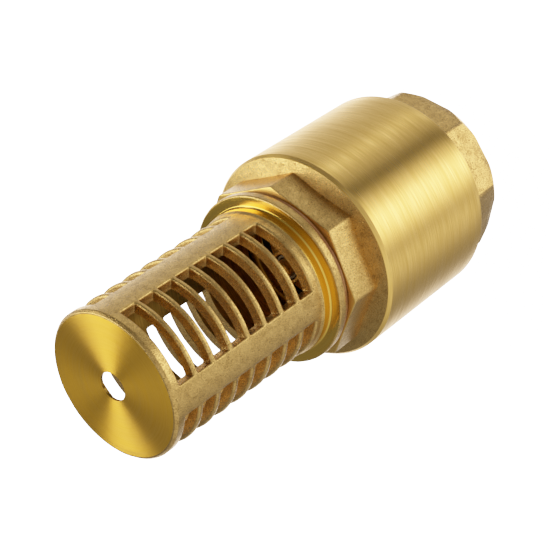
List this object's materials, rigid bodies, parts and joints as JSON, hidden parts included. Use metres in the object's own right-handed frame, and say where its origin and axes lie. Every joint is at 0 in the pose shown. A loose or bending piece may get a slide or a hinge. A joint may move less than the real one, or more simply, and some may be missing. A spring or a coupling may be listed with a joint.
{
  "type": "foot valve",
  "caption": "Brass spring check valve with a slotted strainer for the bottom end of a pump's suction pipe.",
  "frame": {"origin": "centre of the outlet face, on the valve's axis", "axes": "+Z along the valve's axis from the outlet to the strainer's closed end, so the valve stands on its outlet face; in use it hangs the other way up"},
  "size_m": [0.0598, 0.0598, 0.131],
  "materials": {
    "cast_brass": "cast and shot-blasted, satin",
    "turned_brass": "turned, bright, with fine lathe lines",
    "rubber": "moulded nitrile",
    "fibre": "pressed vulcanised fibre",
    "plastic": "machined acetal",
    "steel": "drawn stainless steel"
  },
  "bodies": {
    "valve": {"strainer": "cast_brass", "strainer_gasket": "fibre", "body": "turned_brass", "outlet_end": "cast_brass", "body_o_ring": "rubber", "inlet_bush": "plastic", "outlet_bush": "plastic", "spring_washer": "steel", "spring": "steel"},
    "poppet": {"stem": "turned_brass", "retainer_plate": "turned_brass", "seat_seal": "rubber", "poppet_disc": "turned_brass", "lock_washer": "steel", "stem_nut": "turned_brass"}
  },
  "joints": [
    {"name": "poppet_lift", "type": "slide", "parent": "valve", "child": "poppet", "axis": [0, 0, -1], "range_m": [0, 0.008], "stiffness_N_per_m": 250, "springref_m": -0.0068, "deforming": ["spring"]}
  ]
}
